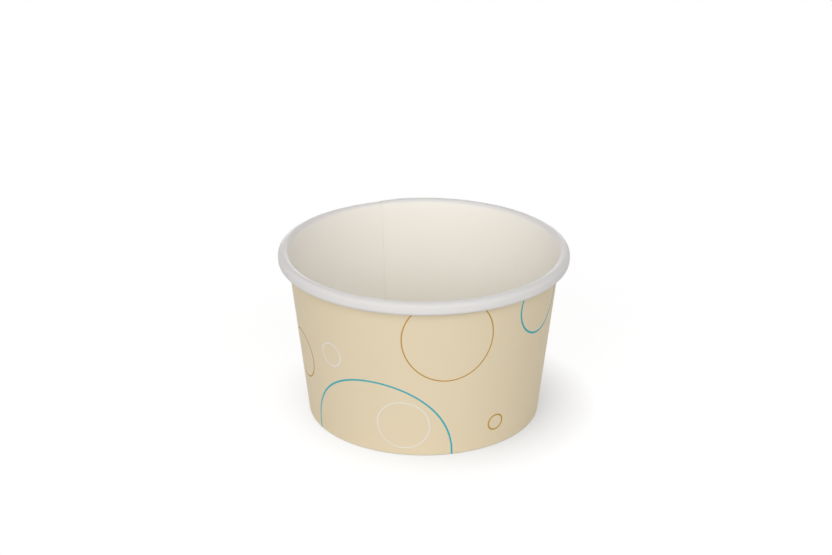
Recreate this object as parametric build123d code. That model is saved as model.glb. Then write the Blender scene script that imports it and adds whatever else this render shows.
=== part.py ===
"""A paper dessert cup: a wrapped side wall with a rolled rim, and a bottom disc held in the wall's foot."""

from build123d import *
import os
from math import asin, atan2, cos, degrees, sin, tan

# Driving dimensions, in millimetres and degrees
RIM_DIAMETER = 96.0  # outside of the rolled rim
BASE_DIAMETER = 77.5  # outside of the wall, where its line meets the table
CUP_HEIGHT = 57.0  # from the table to the top of the rolled rim

WALL_BOARD = 0.40  # thickness of the side wall's paperboard
BOTTOM_BOARD = 0.35  # thickness of the bottom's paperboard
SEAL_FILM = 0.02  # film between two layers that are pressed together

ROLL_WIDTH = 3.5  # across the rolled rim's upper bend
ROLL_SIDE = 1.1  # straight side between the roll's upper and lower bends
ROLL_CLEARANCE = 0.05  # from the roll's inner turn to the seam's outer layer
ROLL_END_TURN = 110.0  # how far the board's top edge curls on inside the roll

BOTTOM_RISE = 6.0  # from the table to the underside of the bottom disc
BOTTOM_BEND = 0.8  # outer radius where the disc turns down into its skirt
SKIRT_CLEARANCE = 0.05  # from the skirt's edge to the creases below it
HEM_CLEARANCE = 0.55  # from the edge of the turned-up hem to the disc's bend above it
FOLD_RADIUS = 0.08  # inside radius of the two creases at the foot

LAP_WIDTH = 7.0  # overlap of the side seam, at half the cup's height
LAP_RAMP = 3.0  # length over which the outer layer steps out from under the inner one
LAP_CLEARANCE = 0.12  # from the foot's creases up to the outer layer's lower edge
SEAM_ANGLE = 109.0  # where the inner layer's edge stands, counter-clockwise from +X

# The wall's slope: its outer face runs from the base edge and comes in at a tangent to the roll
rim_radius = RIM_DIAMETER / 2
base_radius = BASE_DIAMETER / 2
top_bend = ROLL_WIDTH / 2
top_centre = Vector(rim_radius - top_bend, CUP_HEIGHT - top_bend)
to_top_centre = top_centre - Vector(base_radius, 0)
slope = atan2(to_top_centre.X, to_top_centre.Y) - asin((top_bend - WALL_BOARD) / to_top_centre.length)
wall_turn = 180 - degrees(slope)  # from +X round to the direction that faces into the cup, square to the wall

# The roll closes round the wall and its own upper bend, with room for the seam's second layer
second_layer = WALL_BOARD + SEAL_FILM
side_end = CUP_HEIGHT - top_bend - ROLL_SIDE
side_to_wall = (rim_radius - base_radius) * cos(slope) - side_end * sin(slope)
low_bend = (side_to_wall - second_layer - ROLL_CLEARANCE) / (1 + cos(slope))
low_centre = Vector(rim_radius - low_bend, side_end)
inner_bend = top_bend - WALL_BOARD - second_layer - ROLL_CLEARANCE

# The pocket between the wall and its hem holds the bottom's skirt and a film on each side of it
pocket = BOTTOM_BOARD + 2 * SEAL_FILM
crease_height = WALL_BOARD + FOLD_RADIUS
bottom_bend_height = BOTTOM_RISE + BOTTOM_BOARD - BOTTOM_BEND
hem_height = bottom_bend_height - HEM_CLEARANCE

# The seam's lap and ramp, as angles round the cup
seam_radius = base_radius + CUP_HEIGHT / 2 * tan(slope)
lap_angle = degrees(LAP_WIDTH / seam_radius)
ramp_angle = degrees(LAP_RAMP / seam_radius)
lap_end = SEAM_ANGLE - lap_angle
ramp_end = SEAM_ANGLE + ramp_angle


def wall_point(depth, height):
    """The point at this height, this far inside the wall's outer face."""
    return Vector(base_radius + height * tan(slope) - depth / cos(slope), height)


def toward(centre, radius, angle):
    """The point at this distance and angle from a bend's centre."""
    return centre + Vector(radius, 0).rotate(Axis.Z, angle)


def above_crease(depth):
    """The point on one face of the board where the upright wall stands clear of the foot's crease."""
    return wall_point(WALL_BOARD - depth, crease_height + LAP_CLEARANCE)


def foot_face(depth):
    """One face of the wall's board, from the hem's edge round both creases of the foot.

    The board's white face is at depth 0, and its printed face is one board's thickness deeper.
    """
    crease = FOLD_RADIUS + depth
    outer_crease = wall_point(WALL_BOARD + FOLD_RADIUS, crease_height)
    inner_crease = wall_point(WALL_BOARD + pocket - FOLD_RADIUS, crease_height)
    return [
        Line(wall_point(WALL_BOARD + pocket + depth, hem_height), toward(inner_crease, crease, wall_turn)),
        CenterArc(inner_crease, crease, wall_turn, 270 - wall_turn),
        Line(toward(inner_crease, crease, 270), toward(outer_crease, crease, 270)),
        CenterArc(outer_crease, crease, 270, wall_turn - 90),
    ]


def roll_face(depth, from_foot):
    """One face of the board, from this point at the foot up the wall and over to the roll's underside."""
    return [
        Line(from_foot, toward(top_centre, top_bend - depth, wall_turn)),
        CenterArc(top_centre, top_bend - depth, wall_turn, -wall_turn),
        Line(toward(top_centre, top_bend - depth, 0), toward(low_centre, low_bend - depth, 0)),
        CenterArc(low_centre, low_bend - depth, 0, wall_turn - 360),
    ]


def inner_turn_face(depth):
    """One face of the board, from the roll's underside up beside the wall and over inside the roll."""
    back_at_wall = toward(low_centre, low_bend - depth, wall_turn)
    inner_turn_start = toward(top_centre, inner_bend - depth, wall_turn)
    return [
        Line(back_at_wall, inner_turn_start),
        CenterArc(top_centre, inner_bend - depth, wall_turn, -ROLL_END_TURN),
    ]


def section(one_face, other_face, angle=0.0):
    """The board between its two faces, cut along the cup's axis at this angle round the cup."""
    starts = Line(one_face[0] @ 0, other_face[0] @ 0)
    ends = Line(one_face[-1] @ 1, other_face[-1] @ 1)
    outline = [*one_face, ends, *other_face, starts]
    return Rot(0, 0, angle) * (Plane.XZ * make_face(outline))


def whole_face(depth):
    """One face of the board, from the hem's edge to the edge inside the roll."""
    foot = foot_face(depth)
    return foot + roll_face(depth, foot[-1] @ 1) + inner_turn_face(depth)


def foot_and_stub(depth):
    """One face of the board round the foot, with the short stub of wall that the seam's ramp starts from."""
    foot = foot_face(depth)
    return [*foot, Line(foot[-1] @ 1, above_crease(depth))]


def seam_layer(depth, angle):
    """The board of the wall and roll at the seam, its white face this deep, cut at this angle."""
    printed = depth + WALL_BOARD
    return section(roll_face(depth, above_crease(depth)), roll_face(printed, above_crease(printed)), angle)


# Side wall: the board runs once round the cup, from the seam's ramp to the inner layer's edge
once_round = revolve(section(whole_face(0), whole_face(WALL_BOARD), ramp_end), Axis.Z, 360 - ramp_angle)

# Side seam: above the foot, the board steps out through the ramp and laps under its own first edge
foot_at_ramp = revolve(section(foot_and_stub(0), foot_and_stub(WALL_BOARD), SEAM_ANGLE), Axis.Z, ramp_angle)
ramp = loft([seam_layer(0, ramp_end), seam_layer(second_layer, SEAM_ANGLE)], ruled=True)
lap = revolve(seam_layer(second_layer, lap_end), Axis.Z, lap_angle)
side_wall = once_round + foot_at_ramp + ramp + lap


def bottom_face(depth):
    """One face of the bottom's board, this deep under its upper face, from the axis to the skirt's edge."""
    skirt_depth = WALL_BOARD + SEAL_FILM
    bend_centre = wall_point(skirt_depth + BOTTOM_BEND, bottom_bend_height)
    bend = BOTTOM_BEND - depth
    skirt_edge = wall_point(skirt_depth + depth, crease_height + SKIRT_CLEARANCE)
    return [
        Line((0, bottom_bend_height + bend), toward(bend_centre, bend, 90)),
        CenterArc(bend_centre, bend, 90, wall_turn - 270),
        Line(toward(bend_centre, bend, wall_turn - 180), skirt_edge),
    ]


# Bottom disc: a flat plate with its edge turned down into the wall's fold
bottom_disc = revolve(section(bottom_face(0), bottom_face(BOTTOM_BOARD)), Axis.Z)

os.makedirs("parts", exist_ok=True)
export_step(side_wall, "parts/side_wall.step")
export_step(bottom_disc, "parts/bottom_disc.step")
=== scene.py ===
"""A paper dessert cup: white bottom disc, printed side wall, studio floor, light and camera."""

from math import asin, atan2, cos, pi, radians, sin, tan

import bpy
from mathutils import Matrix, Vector


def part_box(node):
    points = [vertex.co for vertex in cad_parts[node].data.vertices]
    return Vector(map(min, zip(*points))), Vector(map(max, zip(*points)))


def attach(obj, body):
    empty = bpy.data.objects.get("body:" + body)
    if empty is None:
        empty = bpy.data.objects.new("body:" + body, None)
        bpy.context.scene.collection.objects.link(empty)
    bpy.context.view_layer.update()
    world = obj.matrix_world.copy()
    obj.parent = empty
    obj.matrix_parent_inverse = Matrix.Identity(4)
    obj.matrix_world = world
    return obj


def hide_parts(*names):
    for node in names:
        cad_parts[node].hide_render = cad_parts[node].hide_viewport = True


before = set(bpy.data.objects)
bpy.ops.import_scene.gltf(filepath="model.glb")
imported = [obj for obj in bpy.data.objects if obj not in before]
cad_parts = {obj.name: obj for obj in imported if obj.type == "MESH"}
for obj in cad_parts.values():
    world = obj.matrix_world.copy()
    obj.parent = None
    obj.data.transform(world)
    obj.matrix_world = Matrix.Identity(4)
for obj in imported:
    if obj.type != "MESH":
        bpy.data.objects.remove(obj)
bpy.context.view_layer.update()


# Bottom disc
# A flat round of white cup board, coated on its upper side, with its edge pressed down into a short skirt.
# It is laid down first: the wall is wrapped round the skirt, folded up over it and sealed to it by heat.

disc_low, disc_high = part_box("bottom_disc")
_, wall_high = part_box("side_wall")
disc_top = disc_high.z
disc_skirt_end = disc_low.z
disc_board = 0.00035
disc_bend = 0.0008  # outer radius where the disc turns down into its skirt
disc_dish = 0.00012  # how far the middle of the disc sinks as the hot seal cools

base_radius = 0.03875  # outside of the wall, where its line meets the table
rim_radius = wall_high.x
cup_height = wall_high.z
wall_board = 0.0004
seal_film = 0.00002
roll_bend = 0.00175  # outer radius of the rolled rim's upper bend

roll_centre = Vector((rim_radius - roll_bend, cup_height - roll_bend))
to_roll = roll_centre - Vector((base_radius, 0))
slope = atan2(to_roll.x, to_roll.y) - asin((roll_bend - wall_board) / to_roll.length)
into_cup = pi - slope  # direction that faces into the cup, square to the wall


def wall_point(depth, height):
    """The point of the cup's section at this height, this far inside the wall's outer face."""
    return Vector((base_radius + height * tan(slope) - depth / cos(slope), height))


def bend(centre, radius, start, sweep, steps):
    """Points of the section along a round bend, from the start angle through the sweep."""
    angles = [start + sweep * step / steps for step in range(steps + 1)]
    return [centre + radius * Vector((cos(angle), sin(angle))) for angle in angles]


def run(start, end, steps):
    """Points of the section along a straight run, both ends included."""
    return [start.lerp(end, step / steps) for step in range(steps + 1)]


def section_object(name, points):
    """An object that holds points of the section as loose vertices, with the cup's axis up Z."""
    mesh = bpy.data.meshes.new(name)
    mesh.from_pydata([(point.x, 0, point.y) for point in points], [], [])
    piece = bpy.data.objects.new(name, mesh)
    bpy.context.scene.collection.objects.link(piece)
    return piece


def add_node(tree, kind, inputs=(), **options):
    """Adds a node with these options; each input, by name or place, is a socket to join or a value."""
    made = tree.nodes.new(kind)
    for option, setting in options.items():
        setattr(made, option, setting)
    for name, given in dict(inputs).items():
        if isinstance(given, bpy.types.NodeSocket):
            tree.links.new(given, made.inputs[name])
        else:
            made.inputs[name].default_value = given
    return made


def maths(tree, operation, *values):
    """The result of one sum on sockets or numbers."""
    return add_node(tree, "ShaderNodeMath", enumerate(values), operation=operation).outputs[0]


def vector_maths(tree, operation, *values):
    """The result of one sum on vectors; scaling takes a vector and a number."""
    inputs = dict(enumerate(values))
    if operation == "SCALE":
        inputs = {"Vector": values[0], "Scale": values[1]}
    made = add_node(tree, "ShaderNodeVectorMath", inputs, operation=operation)
    return made.outputs["Value" if operation in ("LENGTH", "DISTANCE") else "Vector"]


def split(tree, vector):
    """The X, Y and Z of a vector, by name."""
    return add_node(tree, "ShaderNodeSeparateXYZ", {"Vector": vector}).outputs


def ease(tree, value, start, end, low=0.0, high=1.0):
    """A soft step of the value from low to high between start and end."""
    inputs = {"Value": value, "From Min": start, "From Max": end, "To Min": low, "To Max": high}
    step = add_node(tree, "ShaderNodeMapRange", inputs, interpolation_type="SMOOTHSTEP")
    return step.outputs["Result"]


def mix_colour(tree, share, first, second):
    """The first colour where the share is nought, and the second where it is one."""
    share_input = 0
    first_input = 6
    second_input = 7
    colour_output = 2
    inputs = {share_input: share, first_input: first, second_input: second}
    return add_node(tree, "ShaderNodeMix", inputs, data_type="RGBA").outputs[colour_output]


def board_tree(name, sizes, finishes):
    """A geometry tree that makes a section into a piece of board, with named sizes and finishes."""
    tree = bpy.data.node_groups.new(name, "GeometryNodeTree")
    tree.interface.new_socket("Section", in_out="INPUT", socket_type="NodeSocketGeometry")
    for size, value in sizes.items():
        kind = "NodeSocketInt" if isinstance(value, int) else "NodeSocketFloat"
        tree.interface.new_socket(size, in_out="INPUT", socket_type=kind)
    for finish in finishes:
        tree.interface.new_socket(finish, in_out="INPUT", socket_type="NodeSocketMaterial")
    tree.interface.new_socket("Board", in_out="OUTPUT", socket_type="NodeSocketGeometry")
    return tree


half_sheet = 0.5  # every flat sheet starts one unit across, with its middle at zero


def sheet_row(tree, place, rows):
    """The number of the section's point that belongs at this place across a flat sheet."""
    last_row = maths(tree, "SUBTRACT", rows, 1.0)
    from_edge = maths(tree, "ADD", place, half_sheet)
    return maths(tree, "ROUND", maths(tree, "MULTIPLY", from_edge, last_row))


def section_sample(tree, section, value, index, kind):
    """The value that the section holds at one of its points."""
    inputs = {"Geometry": section, "Value": value, "Index": index}
    sample = add_node(tree, "GeometryNodeSampleIndex", inputs, data_type=kind, domain="POINT")
    return sample.outputs["Value"]


def round_the_axis(tree, point, angle):
    """A point of the section, turned to this angle round the cup's axis."""
    parts = split(tree, point)
    across = maths(tree, "MULTIPLY", parts["X"], maths(tree, "COSINE", angle))
    along = maths(tree, "MULTIPLY", parts["X"], maths(tree, "SINE", angle))
    turned = add_node(tree, "ShaderNodeCombineXYZ", {"X": across, "Y": along, "Z": parts["Z"]})
    return turned.outputs["Vector"]


def crisp_edges(tree, board):
    """The board shaded smooth, apart from its cut edges."""
    cut_edge_turn = radians(50)
    turn = add_node(tree, "GeometryNodeInputMeshEdgeAngle").outputs["Unsigned Angle"]
    inputs = {"A": turn, "B": cut_edge_turn}
    is_cut = add_node(tree, "FunctionNodeCompare", inputs, operation="GREATER_THAN")
    inputs = {"Geometry": board, "Shade Smooth": True}
    smooth = add_node(tree, "GeometryNodeSetShadeSmooth", inputs, domain="FACE")
    inputs = {"Geometry": smooth.outputs[0], "Selection": is_cut.outputs[0], "Shade Smooth": False}
    return add_node(tree, "GeometryNodeSetShadeSmooth", inputs, domain="EDGE").outputs[0]


def bake_board(piece, tree, values):
    """Runs the tree on the piece's section and leaves the result as the piece's own plain mesh."""
    modifier = piece.modifiers.new(tree.name, "NODES")
    modifier.node_group = tree
    for socket in tree.interface.items_tree:
        if socket.in_out == "INPUT" and socket.name in values:
            modifier[socket.identifier] = values[socket.name]
    evaluated = piece.evaluated_get(bpy.context.evaluated_depsgraph_get())
    piece.data = bpy.data.meshes.new_from_object(evaluated)
    piece.data.name = piece.name
    piece.modifiers.remove(modifier)


def board_fibres():
    """Shader group: the cloudy tone and the matted fibres of paperboard under its coating."""
    grain_stretch = (1.0, 1.0, 0.45)  # the board's fibres lie more along the cup's height
    group = bpy.data.node_groups.new("board_fibres", "ShaderNodeTree")
    group.interface.new_socket("Position", in_out="INPUT", socket_type="NodeSocketVector")
    group.interface.new_socket("Fibre Size", in_out="INPUT", socket_type="NodeSocketFloat")
    group.interface.new_socket("Cloud Size", in_out="INPUT", socket_type="NodeSocketFloat")
    group.interface.new_socket("Fibre", in_out="OUTPUT", socket_type="NodeSocketFloat")
    group.interface.new_socket("Cloud", in_out="OUTPUT", socket_type="NodeSocketFloat")
    given = add_node(group, "NodeGroupInput").outputs
    fibre_scale = maths(group, "DIVIDE", 1.0, given["Fibre Size"])
    cloud_scale = maths(group, "DIVIDE", 1.0, given["Cloud Size"])
    grain = vector_maths(group, "MULTIPLY", given["Position"], grain_stretch)
    fibre = add_node(
        group,
        "ShaderNodeTexNoise",
        {"Vector": grain, "Scale": fibre_scale, "Detail": 5.0, "Roughness": 0.62, "Distortion": 0.8},
    )
    cloud = add_node(
        group,
        "ShaderNodeTexNoise",
        {"Vector": given["Position"], "Scale": cloud_scale, "Detail": 3.0, "Roughness": 0.5},
    )
    add_node(group, "NodeGroupOutput", {"Fibre": fibre.outputs["Fac"], "Cloud": cloud.outputs["Fac"]})
    return group


fibres = board_fibres()


def board_material(name, light, dark, roughness, sheen, fibre_size, fibre_relief):
    """Paperboard: the material, its tree, its shader and its clouded tone, which is not yet joined."""
    cloud_size = 0.006
    gloss_spread = 0.06  # how far the fibres move the roughness, up and down
    material = bpy.data.materials.new(name)
    material.use_nodes = True
    tree = material.node_tree
    shader = tree.nodes["Principled BSDF"]
    shader.inputs["Specular IOR Level"].default_value = sheen
    position = add_node(tree, "ShaderNodeTexCoord").outputs["Object"]
    board = add_node(tree, "ShaderNodeGroup", node_tree=fibres)
    tree.links.new(position, board.inputs["Position"])
    board.inputs["Fibre Size"].default_value = fibre_size
    board.inputs["Cloud Size"].default_value = cloud_size
    gloss = add_node(
        tree,
        "ShaderNodeMapRange",
        {
            "Value": board.outputs["Fibre"],
            "To Min": roughness - gloss_spread,
            "To Max": roughness + gloss_spread,
        },
    )
    tree.links.new(gloss.outputs["Result"], shader.inputs["Roughness"])
    relief = add_node(
        tree,
        "ShaderNodeBump",
        {"Strength": 1.0, "Distance": fibre_relief, "Height": board.outputs["Fibre"]},
    )
    tree.links.new(relief.outputs["Normal"], shader.inputs["Normal"])
    tone = mix_colour(tree, board.outputs["Cloud"], (*dark, 1), (*light, 1))
    return material, tree, shader, tone


white_coat = {
    "light": (0.95, 0.917, 0.85),
    "dark": (0.94, 0.905, 0.835),
    "roughness": 0.5,
    "sheen": 0.2,
    "fibre_size": 0.0003,
    "fibre_relief": 0.000012,
}
white_disc, tree, shader, tone = board_material("white_disc_board", **white_coat)
tree.links.new(tone, shader.inputs["Base Color"])

plate_steps = 14
corner_steps = 8
skirt_steps = 3
skirt_depth = wall_board + seal_film
bend_centre = wall_point(skirt_depth + disc_bend, disc_top - disc_bend)


def disc_face(depth):
    """One face of the disc's board, this deep under its upper face, from the axis to the skirt's edge."""
    plate_edge = bend_centre + Vector((0, disc_bend - depth))
    plate = run(Vector((0, disc_top - depth)), plate_edge, plate_steps)
    for point in plate:
        share = point.x / bend_centre.x
        point.y -= disc_dish * (1 - share * share) ** 2
    corner = bend(bend_centre, disc_bend - depth, pi / 2, -pi / 2 - slope, corner_steps)
    skirt = run(corner[-1], wall_point(skirt_depth + depth, disc_skirt_end), skirt_steps)
    return plate[:-1] + corner + skirt[1:]


disc_section = disc_face(0) + disc_face(disc_board)[::-1]
disc_sizes = {"Columns": 241, "Rows": len(disc_section)}

# The turning: a flat sheet takes its rows from the section and goes once round the axis
turned = board_tree("turned_disc", disc_sizes, ["Coated Face"])
weld_reach = 0.000001
given = add_node(turned, "NodeGroupInput").outputs
sheet = add_node(
    turned,
    "GeometryNodeMeshGrid",
    {"Size X": 1.0, "Size Y": 1.0, "Vertices X": given["Columns"], "Vertices Y": given["Rows"]},
)
position = add_node(turned, "GeometryNodeInputPosition").outputs[0]
place = split(turned, position)
angle = maths(turned, "MULTIPLY", maths(turned, "ADD", place["X"], half_sheet), -2 * pi)
row = sheet_row(turned, place["Y"], given["Rows"])
point = section_sample(turned, given["Section"], position, row, "FLOAT_VECTOR")
inputs = {"Geometry": sheet.outputs["Mesh"], "Position": round_the_axis(turned, point, angle)}
shaped = add_node(turned, "GeometryNodeSetPosition", inputs)
inputs = {"Geometry": shaped.outputs[0], "Distance": weld_reach}
welded = add_node(turned, "GeometryNodeMergeByDistance", inputs)
realized = add_node(turned, "GeometryNodeRealizeInstances", {0: crisp_edges(turned, welded.outputs[0])})
inputs = {"Geometry": realized.outputs[0], "Material": given["Coated Face"]}
finished = add_node(turned, "GeometryNodeSetMaterial", inputs)
add_node(turned, "NodeGroupOutput", {"Board": finished.outputs[0]})

disc = section_object("bottom_board", disc_section)
bake_board(disc, turned, {**disc_sizes, "Coated Face": white_disc})
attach(disc, "root")
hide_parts("bottom_disc")


# Side wall
# One curved blank of cup board, white inside and printed beige outside, wrapped and sealed on a side lap.
# Its foot is folded in over the disc's skirt and pressed in ribs; its top edge is rolled out into the rim.

roll_side = 0.0011  # straight side between the roll's upper and lower bends
roll_clearance = 0.00005
roll_end_turn = radians(110)  # how far the board's top edge curls on inside the roll
fold_radius = 0.00008
hem_height = 0.005
foot_top = 0.004  # the wall is divided more finely up to this height
clear_of_fold = 0.0035  # above this height, the board outside the base's radius is plain wall
lap_width = 0.007
lap_ramp = 0.022  # length over which the outer layer eases out to pass under the inner one
edge_press = 0.005  # width of the strip where the seal presses the inner layer thin
seam_angle = radians(109)

second_layer = wall_board + seal_film
side_end = cup_height - roll_bend - roll_side
side_to_wall = (rim_radius - base_radius) * cos(slope) - side_end * sin(slope)
low_bend = (side_to_wall - second_layer - roll_clearance) / (1 + cos(slope))
low_centre = Vector((rim_radius - low_bend, side_end))
inner_bend = roll_bend - wall_board - second_layer - roll_clearance
pocket = disc_board + 2 * seal_film
crease_height = wall_board + fold_radius
seam_radius = base_radius + cup_height / 2 * tan(slope)
blank_radius = base_radius / sin(slope)  # from the flat blank's centre to the wall's line on the table

hem_steps = 9
crease_steps = 6
foot_steps = 5
wall_steps = 10
top_steps = 18
low_steps = 14
inner_steps = 6


def board_face(depth):
    """One face of the wall's board, from the hem's edge to the edge inside the roll; depth 0 is white."""
    inner_crease = wall_point(wall_board + pocket - fold_radius, crease_height)
    outer_crease = wall_point(wall_board + fold_radius, crease_height)
    crease_bend = fold_radius + depth
    first_crease = bend(inner_crease, crease_bend, into_cup, 3 * pi / 2 - into_cup, crease_steps)
    second_crease = bend(outer_crease, crease_bend, 3 * pi / 2, into_cup - pi / 2, crease_steps)
    hem = run(wall_point(wall_board + pocket + depth, hem_height), first_crease[0], hem_steps)
    top = bend(roll_centre, roll_bend - depth, into_cup, -into_cup, top_steps)
    low = bend(low_centre, low_bend - depth, 0, into_cup - 2 * pi, low_steps)
    inner_turn = bend(roll_centre, inner_bend - depth, into_cup, -roll_end_turn, inner_steps)
    foot_rise = run(second_crease[-1], wall_point(wall_board - depth, foot_top), foot_steps)
    straight = run(foot_rise[-1], top[0], wall_steps)
    foot = hem[:-1] + first_crease + second_crease[:-1] + foot_rise[:-1]
    return foot + straight[:-1] + top + low + inner_turn


white_face = board_face(0)
printed_face = board_face(wall_board)


def blank_heights(points):
    """How far up the flat blank each point of the section lies, from the wall's line on the table."""
    heights = [0.0]
    for before, after in zip(points, points[1:]):
        heights.append(heights[-1] + (after - before).length)
    on_wall = [point.y > clear_of_fold and point.x > base_radius for point in points].index(True)
    shift = points[on_wall].y / cos(slope) - heights[on_wall]
    return [height + shift for height in heights]


# Both faces of the board hold the heights of the printed one
wall = section_object("side_board", white_face + printed_face)
printed_heights = blank_heights(printed_face)
heights = wall.data.attributes.new("blank_height", "FLOAT", "POINT")
heights.data.foreach_set("value", printed_heights + printed_heights)

# Heights here are up the flat blank, and thicknesses are shares of the board's
wall_sizes = {
    "Columns": 481,
    "Rows": len(white_face),
    "Seam Angle": seam_angle,
    "Lap Angle": lap_width / seam_radius,
    "Ramp Angle": lap_ramp / seam_radius,
    "Press Angle": edge_press / seam_radius,
    "Roll Softness": 1.5,  # the ramp and the pressed strip are this much longer on the roll
    "Roll Start": 0.052,
    "Roll Full": 0.056,
    "Pressed Share": 0.35,  # left of the inner layer at its edge
    "Second Layer": second_layer / wall_board,
    "Foot Sink": -0.12,  # keeps the lap's foot just inside the foot that it lies on
    "Lap Start": 0.0002,
    "Lap Full": 0.0032,
    "Blank Radius": blank_radius,
    "Cone Share": sin(slope),  # of a turn round the cup, on the flat blank
    "Ribs": 78,
    "Rib Depth": 0.45,
    "Rib Blend": 0.0012,
    "Hem Edge": -0.0056,
    "Hem Crease": -0.0012,
}
wrapped = board_tree("wrapped_wall", wall_sizes, ["Printed Face", "White Face", "Cut Edge"])
given = add_node(wrapped, "NodeGroupInput").outputs
sheet = add_node(
    wrapped,
    "GeometryNodeMeshCube",
    {"Size": (1, 1, 1), "Vertices X": given["Columns"], "Vertices Y": given["Rows"], "Vertices Z": 2},
)
position = add_node(wrapped, "GeometryNodeInputPosition").outputs[0]
place = split(wrapped, position)
row = sheet_row(wrapped, place["Y"], given["Rows"])
printed_row = maths(wrapped, "ADD", row, given["Rows"])
white_point = section_sample(wrapped, given["Section"], position, row, "FLOAT_VECTOR")
printed_point = section_sample(wrapped, given["Section"], position, printed_row, "FLOAT_VECTOR")
inputs = {"Name": "blank_height"}
held_height = add_node(wrapped, "GeometryNodeInputNamedAttribute", inputs, data_type="FLOAT")
height = section_sample(wrapped, given["Section"], held_height.outputs["Attribute"], row, "FLOAT")

# The wrap: the sheet turns clockwise from the inner layer's edge, and steps out over the ramp into the lap
whole_turn = maths(wrapped, "ADD", given["Lap Angle"], 2 * pi)
turn = maths(wrapped, "MULTIPLY", maths(wrapped, "SUBTRACT", half_sheet, place["X"]), whole_turn)
angle = maths(wrapped, "SUBTRACT", given["Seam Angle"], turn)
softened = ease(wrapped, height, given["Roll Start"], given["Roll Full"], 1.0, given["Roll Softness"])
ramp_start = maths(wrapped, "SUBTRACT", 2 * pi, maths(wrapped, "MULTIPLY", given["Ramp Angle"], softened))
stepped = ease(wrapped, turn, ramp_start, 2 * pi)
lap_start = given["Lap Start"]
lap_full = given["Lap Full"]
layer = ease(wrapped, height, lap_start, lap_full, given["Foot Sink"], given["Second Layer"])
lap_layer = maths(wrapped, "MULTIPLY", stepped, layer)

# The ribs: the press that closes the foot leaves upright grooves in the hem's printed face
half_wave = 0.5  # brings the sine, from -1 to 1, to shares from 0 to 1
rounds = maths(wrapped, "SINE", maths(wrapped, "MULTIPLY", angle, given["Ribs"]))
wave = maths(wrapped, "MULTIPLY_ADD", rounds, half_wave, half_wave)
above_edge = maths(wrapped, "ADD", given["Hem Edge"], given["Rib Blend"])
below_crease = maths(wrapped, "SUBTRACT", given["Hem Crease"], given["Rib Blend"])
pressed_low = ease(wrapped, height, below_crease, given["Hem Crease"], 1.0, 0.0)
pressed_high = ease(wrapped, height, given["Hem Edge"], above_edge)
pressed = maths(wrapped, "MULTIPLY", maths(wrapped, "MULTIPLY", pressed_low, pressed_high), wave)
kept_board = maths(wrapped, "SUBTRACT", 1.0, maths(wrapped, "MULTIPLY", pressed, given["Rib Depth"]))
from_white = maths(wrapped, "MULTIPLY", maths(wrapped, "ADD", place["Z"], half_sheet), kept_board)

# The seal: heat and pressure thin the inner layer towards its edge, from the white side
press_end = maths(wrapped, "MULTIPLY", given["Press Angle"], softened)
edge_share = ease(wrapped, turn, 0.0, press_end, given["Pressed Share"], 1.0)
from_printed = maths(wrapped, "MULTIPLY", maths(wrapped, "SUBTRACT", 1.0, from_white), edge_share)
through = maths(wrapped, "SUBTRACT", 1.0, from_printed)

across = vector_maths(wrapped, "SUBTRACT", printed_point, white_point)
offset = vector_maths(wrapped, "SCALE", across, maths(wrapped, "ADD", through, lap_layer))
on_section = vector_maths(wrapped, "ADD", white_point, offset)

# The blank laid flat: the print's map, in metres, with its zero at the foot of the cup's front
from_front = maths(wrapped, "MULTIPLY", maths(wrapped, "ADD", angle, pi / 2), given["Cone Share"])
reach = maths(wrapped, "ADD", given["Blank Radius"], height)
flat_x = maths(wrapped, "MULTIPLY", reach, maths(wrapped, "SINE", from_front))
flat_y = maths(wrapped, "MULTIPLY", reach, maths(wrapped, "COSINE", from_front))
flat_up = maths(wrapped, "SUBTRACT", flat_y, given["Blank Radius"])
flat = add_node(wrapped, "ShaderNodeCombineXYZ", {"X": flat_x, "Y": flat_up})
mapped = add_node(
    wrapped,
    "GeometryNodeStoreNamedAttribute",
    {"Geometry": sheet.outputs["Mesh"], "Name": "blank", "Value": flat.outputs["Vector"]},
    data_type="FLOAT2",
    domain="CORNER",
)

# The finishes: the flat sheet's upper face is printed, its lower face is white, and its edges are cut board
face_turn = 0.5  # a face of the flat sheet that looks further up or down than this is one of its two sides
facing = split(wrapped, add_node(wrapped, "GeometryNodeInputNormal").outputs[0])
sided = add_node(wrapped, "GeometryNodeCaptureAttribute", {0: mapped.outputs[0]}, domain="FACE")
sided.capture_items.new("FLOAT", "Side")
wrapped.links.new(facing["Z"], sided.inputs["Side"])
inputs = {"A": sided.outputs["Side"], "B": face_turn}
is_printed = add_node(wrapped, "FunctionNodeCompare", inputs, operation="GREATER_THAN")
inputs = {"A": sided.outputs["Side"], "B": -face_turn}
is_white = add_node(wrapped, "FunctionNodeCompare", inputs, operation="LESS_THAN")
inputs = {"Geometry": sided.outputs[0], "Position": round_the_axis(wrapped, on_section, angle)}
shaped = add_node(wrapped, "GeometryNodeSetPosition", inputs)
realized = add_node(wrapped, "GeometryNodeRealizeInstances", {0: crisp_edges(wrapped, shaped.outputs[0])})
inputs = {"Geometry": realized.outputs[0], "Material": given["Cut Edge"]}
edged = add_node(wrapped, "GeometryNodeSetMaterial", inputs)
printed = add_node(
    wrapped,
    "GeometryNodeSetMaterial",
    {"Geometry": edged.outputs[0], "Selection": is_printed.outputs[0], "Material": given["Printed Face"]},
)
whitened = add_node(
    wrapped,
    "GeometryNodeSetMaterial",
    {"Geometry": printed.outputs[0], "Selection": is_white.outputs[0], "Material": given["White Face"]},
)
add_node(wrapped, "NodeGroupOutput", {"Board": whitened.outputs[0]})

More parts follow.
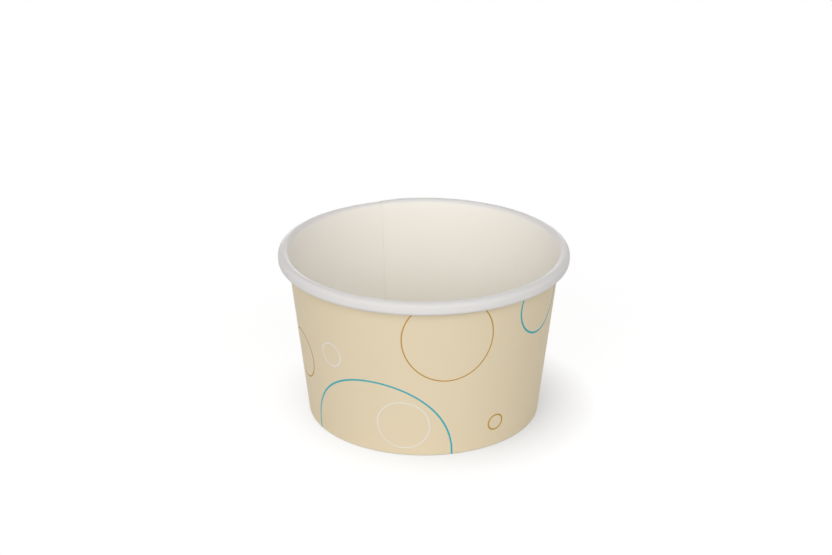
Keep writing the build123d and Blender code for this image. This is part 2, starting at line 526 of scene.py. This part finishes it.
# The white face: the rim is painted a little greyer than the inside, as painted shade for the dimmer light
# on its roll
# painted shade: the rim's white is darkened here to look shaded
painted_rim_shade = (0.80, 0.78, 0.763, 1)
rolled_from = (roll_centre.y + (roll_bend - wall_board) * sin(into_cup)) / cos(slope)
rolled_fade = 0.0009
white_wall, tree, shader, tone = board_material("white_wall_board", **white_coat)
blank = add_node(tree, "ShaderNodeUVMap", uv_map="blank").outputs["UV"]
from_centre = vector_maths(tree, "LENGTH", vector_maths(tree, "ADD", blank, (0, blank_radius, 0)))
up_blank = maths(tree, "SUBTRACT", from_centre, blank_radius)
rim_shade_share = ease(tree, up_blank, rolled_from, rolled_from + rolled_fade)
# the rim takes the painted shade from where the roll starts
tree.links.new(mix_colour(tree, rim_shade_share, tone, painted_rim_shade), shader.inputs["Base Color"])


def printed_ring():
    """Shader group: how much ink one thin ring lays down, on the flat blank's map."""
    ink_edge = 0.00006  # the line's edge is soft over this far on each side
    group = bpy.data.node_groups.new("printed_ring", "ShaderNodeTree")
    group.interface.new_socket("Blank", in_out="INPUT", socket_type="NodeSocketVector")
    group.interface.new_socket("Centre", in_out="INPUT", socket_type="NodeSocketVector")
    group.interface.new_socket("Radius", in_out="INPUT", socket_type="NodeSocketFloat")
    group.interface.new_socket("Line", in_out="INPUT", socket_type="NodeSocketFloat")
    group.interface.new_socket("Ink", in_out="OUTPUT", socket_type="NodeSocketFloat")
    given = add_node(group, "NodeGroupInput").outputs
    reach = vector_maths(group, "DISTANCE", given["Blank"], given["Centre"])
    from_line = maths(group, "ABSOLUTE", maths(group, "SUBTRACT", reach, given["Radius"]))
    half_line = maths(group, "MULTIPLY", given["Line"], 0.5)
    bare = maths(group, "ADD", half_line, ink_edge)
    full = maths(group, "SUBTRACT", half_line, ink_edge)
    add_node(group, "NodeGroupOutput", {"Ink": ease(group, from_line, full, bare, 1.0, 0.0)})
    return group


ring_group = printed_ring()

# The printed face: each ring's degrees from the front, then its height, radius and line in millimetres
inks = {
    "gold": {
        "colour": (0.548, 0.31, 0.052, 1),
        "rings": [
            (10.1, 42.9, 14.9, 0.44),
            (35.3, 9.0, 2.7, 0.56),
            (-71.1, 25.2, 8.3, 0.49),
            (118.0, 18.0, 12.0, 0.44),
            (-150.0, 40.0, 9.0, 0.48),
        ],
    },
    "white": {
        "colour": (0.853, 0.80, 0.735, 1),
        "rings": [
            (-9.7, 11.3, 8.5, 0.43),
            (-44.6, 32.0, 4.0, 0.54),
            (96.0, 30.0, 6.0, 0.50),
            (-120.0, 16.0, 9.0, 0.44),
            (165.0, 12.0, 5.0, 0.52),
        ],
    },
    "teal": {
        "colour": (0.047, 0.433, 0.472, 1),
        "rings": [
            (-23.5, 1.3, 24.9, 0.61),
            (58.9, 48.2, 11.3, 0.69),
            (150.0, 44.0, 17.0, 0.64),
            (-105.0, 46.0, 13.0, 0.67),
            (-158.0, 6.0, 15.0, 0.65),
        ],
    },
}
millimetre = 0.001

printed_wall, tree, shader, tone = board_material(
    "printed_board",
    light=(0.825, 0.705, 0.505),
    dark=(0.805, 0.687, 0.485),
    roughness=0.55,
    sheen=0.2,
    fibre_size=0.00035,
    fibre_relief=0.00001,
)
blank = add_node(tree, "ShaderNodeUVMap", uv_map="blank").outputs["UV"]
for ink in inks.values():
    laid = 0.0
    for degrees_round, up_wall, ring_radius, line in ink["rings"]:
        flat_turn = radians(degrees_round) * sin(slope)
        reach = blank_radius + up_wall * millimetre
        centre_x = reach * sin(flat_turn)
        centre_y = reach * cos(flat_turn) - blank_radius
        ring = add_node(tree, "ShaderNodeGroup", node_tree=ring_group)
        tree.links.new(blank, ring.inputs["Blank"])
        ring.inputs["Centre"].default_value = (centre_x, centre_y, 0)
        ring.inputs["Radius"].default_value = ring_radius * millimetre
        ring.inputs["Line"].default_value = line * millimetre
        laid = maths(tree, "MAXIMUM", laid, ring.outputs["Ink"])
    tone = mix_colour(tree, laid, tone, ink["colour"])
tree.links.new(tone, shader.inputs["Base Color"])

# The cut edges: bare board, rougher and a little browner than its coated faces
cut_board, tree, shader, tone = board_material(
    "cut_board_edge",
    light=(0.84, 0.80, 0.73),
    dark=(0.74, 0.68, 0.58),
    roughness=0.85,
    sheen=0.5,
    fibre_size=0.00008,
    fibre_relief=0.00004,
)
tree.links.new(tone, shader.inputs["Base Color"])

wall_finishes = {"Printed Face": printed_wall, "White Face": white_wall, "Cut Edge": cut_board}
bake_board(wall, wrapped, {**wall_sizes, **wall_finishes})
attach(wall, "root")
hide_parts("side_wall")


# Studio floor and light
# A plain pale table that shows nearly white in an evenly white room; the cup's soft shadow on it is partly
# painted.
# The strongest soft lamp is in front and above, with weaker ones at both sides, overhead and low behind.

floor_reach = 8.0
floor_drop = 0.00005  # keeps the table just clear of the cup's foot
corners = [(-1, -1), (1, -1), (1, 1), (-1, 1)]
corner_points = [(x * floor_reach, y * floor_reach, -floor_drop) for x, y in corners]
floor_mesh = bpy.data.meshes.new("floor")
floor_mesh.from_pydata(corner_points, [], [(0, 1, 2, 3)])
floor = bpy.data.objects.new("floor", floor_mesh)
bpy.context.scene.collection.objects.link(floor)
floor_paint = bpy.data.materials.new("floor_paint")
floor_paint.use_nodes = True
floor_mesh.materials.append(floor_paint)

floor_lift = 0.81  # the floor's own tone as it is seen
floor_tone = 0.72  # the tone by which it lights the cup from below
floor_shown_tone = 0.30  # the share of the lamps' light and shadows that shows on it
shadow_reach = 0.021  # how far from the cup the painted contact shadow shows
shadow_depth = 0.5  # below one, the painted contact shadow is lighter than the hidden share of the room
shadow_lean = Vector((-0.55, -0.3, 1.0)).normalized()  # leans the painted shadow towards the right and back
shadow_samples = 16
white_light = (1, 1, 1, 1)
tree = floor_paint.node_tree
tree.nodes.clear()


def seen_plainly(tree):
    """One where a ray comes from the camera, a reflection or a clear material, and nought elsewhere."""
    path = add_node(tree, "ShaderNodeLightPath").outputs
    reflected = maths(tree, "MAXIMUM", path["Is Glossy Ray"], path["Is Transmission Ray"])
    return maths(tree, "MAXIMUM", path["Is Camera Ray"], reflected)


inputs = {"X": shadow_lean.x, "Y": shadow_lean.y, "Z": shadow_lean.z}
lean = add_node(tree, "ShaderNodeCombineXYZ", inputs).outputs["Vector"]
inputs = {"Distance": shadow_reach, "Normal": lean}
# painted shadow: the floor's glow is darkened near the cup, by how much of the room the cup hides
open_sky = add_node(tree, "ShaderNodeAmbientOcclusion", inputs, samples=shadow_samples).outputs["AO"]
painted_shadow = maths(tree, "POWER", open_sky, shadow_depth)
seen = seen_plainly(tree)
lift = maths(tree, "MULTIPLY", maths(tree, "MULTIPLY", seen, painted_shadow), floor_lift)
tone = maths(tree, "MULTIPLY_ADD", seen, floor_shown_tone - floor_tone, floor_tone)
paint = add_node(tree, "ShaderNodeBsdfDiffuse", {"Color": tone})
glow = add_node(tree, "ShaderNodeEmission", {"Color": white_light, "Strength": lift})
both = add_node(tree, "ShaderNodeAddShader", {0: paint.outputs[0], 1: glow.outputs[0]})
add_node(tree, "ShaderNodeOutputMaterial", {"Surface": both.outputs[0]})

room_fill = 0.36  # the light that the room's white gives to the cup
room = bpy.data.worlds.new("room")
room.use_nodes = True
bpy.context.scene.world = room
tree = room.node_tree
tree.nodes.clear()
shown = add_node(tree, "ShaderNodeBackground", {"Color": white_light, "Strength": 1.0})
fill = add_node(tree, "ShaderNodeBackground", {"Color": white_light, "Strength": room_fill})
inputs = {0: seen_plainly(tree), 1: fill.outputs[0], 2: shown.outputs[0]}
chosen = add_node(tree, "ShaderNodeMixShader", inputs)
add_node(tree, "ShaderNodeOutputWorld", {"Surface": chosen.outputs[0]})


def soft_lamp(name, azimuth, elevation, width, height, power):
    """A soft lamp this many degrees round from the cup's front and up from the table, facing the cup."""
    lamp_reach = 4.0
    lamp_data = bpy.data.lights.new(name, "AREA")
    lamp_data.shape = "RECTANGLE"
    lamp_data.size = width
    lamp_data.size_y = height
    lamp_data.energy = power
    lamp = bpy.data.objects.new(name, lamp_data)
    round_front = radians(azimuth)
    up = radians(elevation)
    away = Vector((cos(up) * sin(round_front), -cos(up) * cos(round_front), sin(up)))
    lamp.location = Vector((0, 0, cup_height / 2)) + lamp_reach * away
    lamp.rotation_euler = away.to_track_quat("Z", "Y").to_euler()
    bpy.context.scene.collection.objects.link(lamp)


soft_lamp("front_lamp", azimuth=-3, elevation=33, width=4.2, height=2.5, power=66.0)
soft_lamp("left_lamp", azimuth=-40, elevation=14, width=4.2, height=1.9, power=37.0)
soft_lamp("right_lamp", azimuth=52, elevation=18, width=3.0, height=2.3, power=21.0)
soft_lamp("top_lamp", azimuth=0, elevation=88, width=2.5, height=2.5, power=5.0)
soft_lamp("back_lamp", azimuth=180, elevation=6, width=2.4, height=0.8, power=42.0)


# Camera
# A long lens a little over half a metre away, looking down into the cup as the photograph does.
# It stands almost straight in front of the cup, and its picture isn't shifted.

camera_place = (-0.002587, -0.5450, 0.27377)
camera_tilt = radians(67.305)  # up from looking straight down
camera_data = bpy.data.cameras.new("camera")
camera_data.sensor_width = 36
camera_data.lens = 77.08
camera = bpy.data.objects.new("camera", camera_data)
camera.location = camera_place
camera.rotation_euler = (camera_tilt, 0, 0)
bpy.context.scene.collection.objects.link(camera)
bpy.context.scene.camera = camera
bpy.context.scene.view_settings.view_transform = "Standard"
